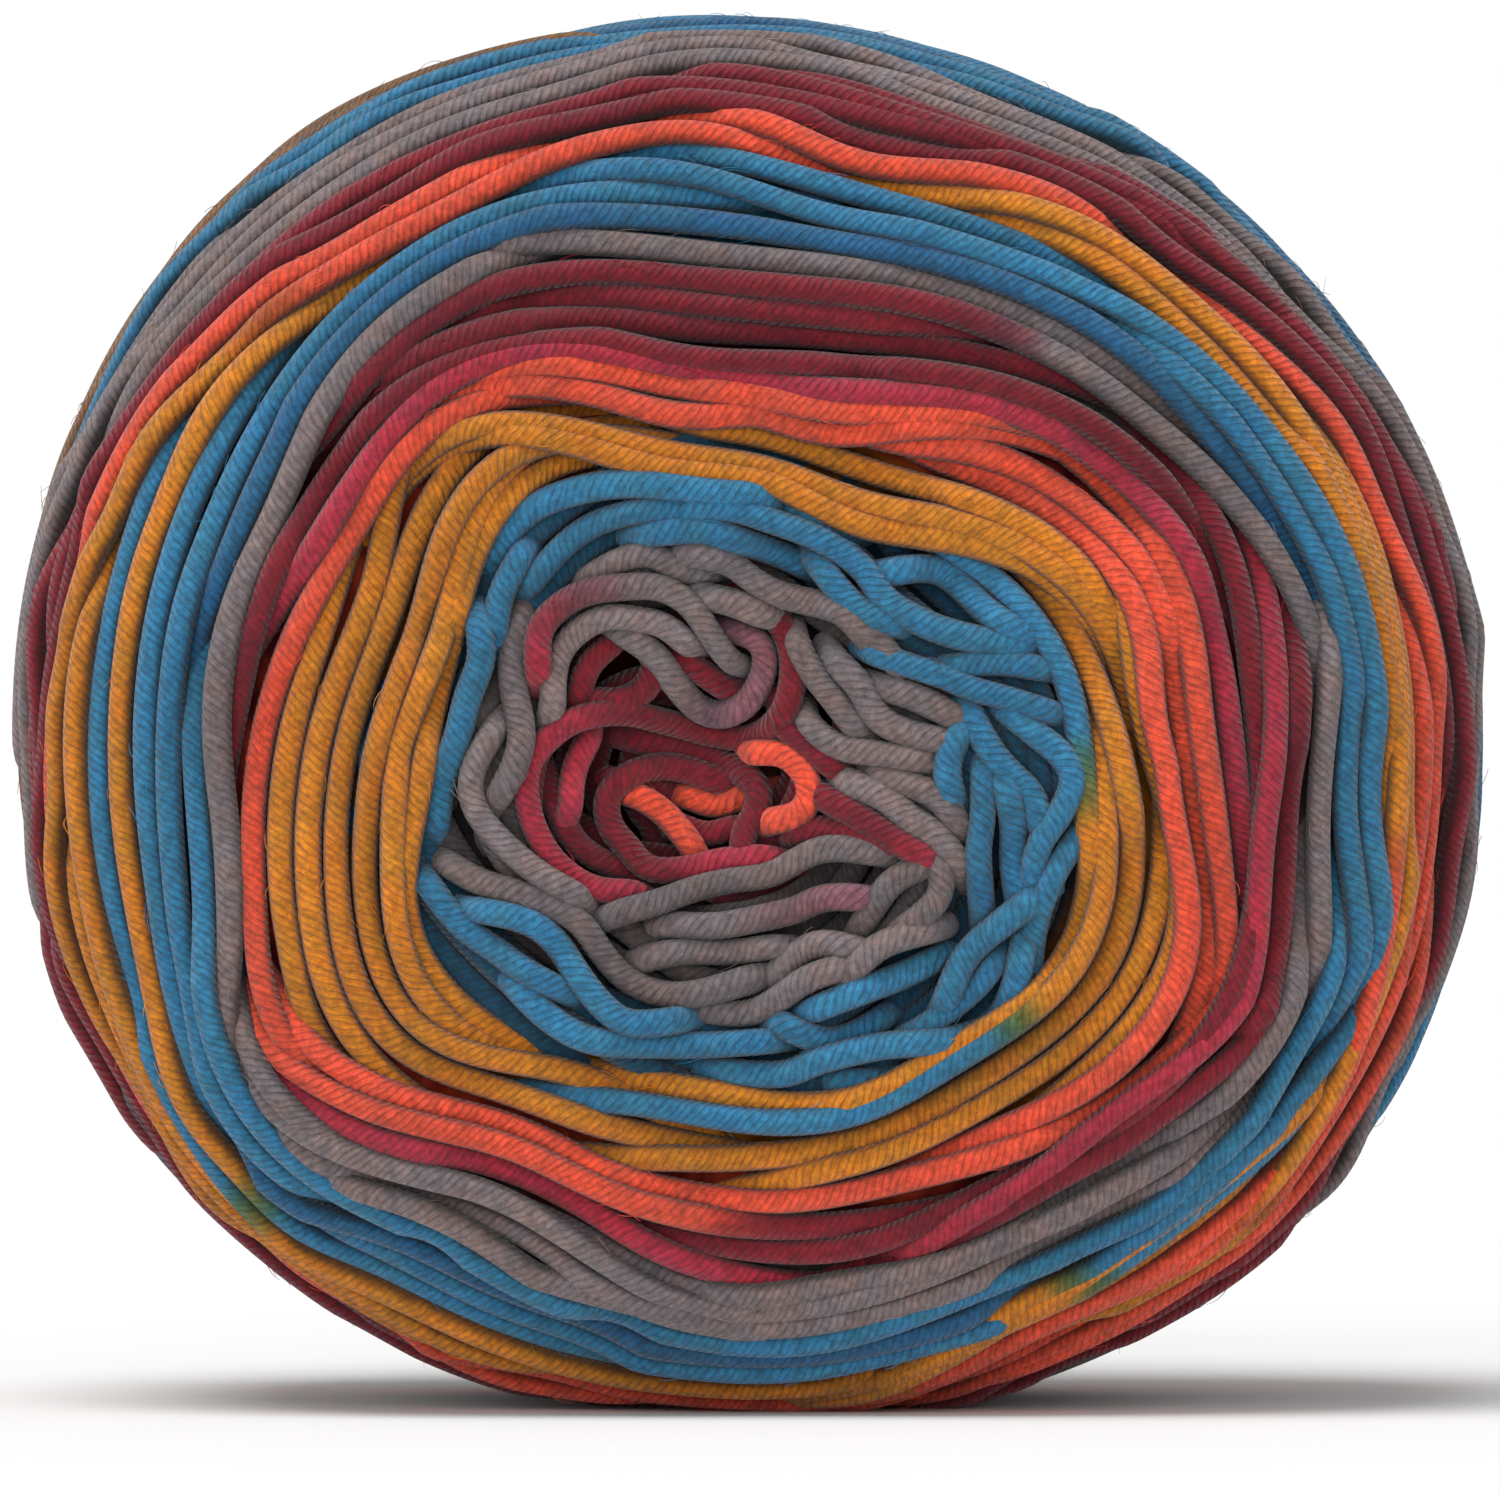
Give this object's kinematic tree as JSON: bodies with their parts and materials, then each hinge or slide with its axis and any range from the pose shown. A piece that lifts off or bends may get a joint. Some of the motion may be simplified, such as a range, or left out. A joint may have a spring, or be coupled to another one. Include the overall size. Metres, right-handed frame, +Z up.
{
  "type": "yarn cake",
  "caption": "Centre-pull cake of self-striping plied yarn standing on its rim, with domed faces, a barrel-shaped wall and a collapsed core.",
  "frame": {"origin": "bottom centre of the cake, in the middle of the flat spot it rests on", "axes": "+Z up, +Y along the winding axis from the front face to the back face, +X to the right as the front face is looked at"},
  "size_m": [0.1504, 0.0896, 0.1411],
  "materials": {
    "yarn": "matte"
  },
  "bodies": {
    "root": {"wound_yarn": "yarn"}
  },
  "joints": []
}
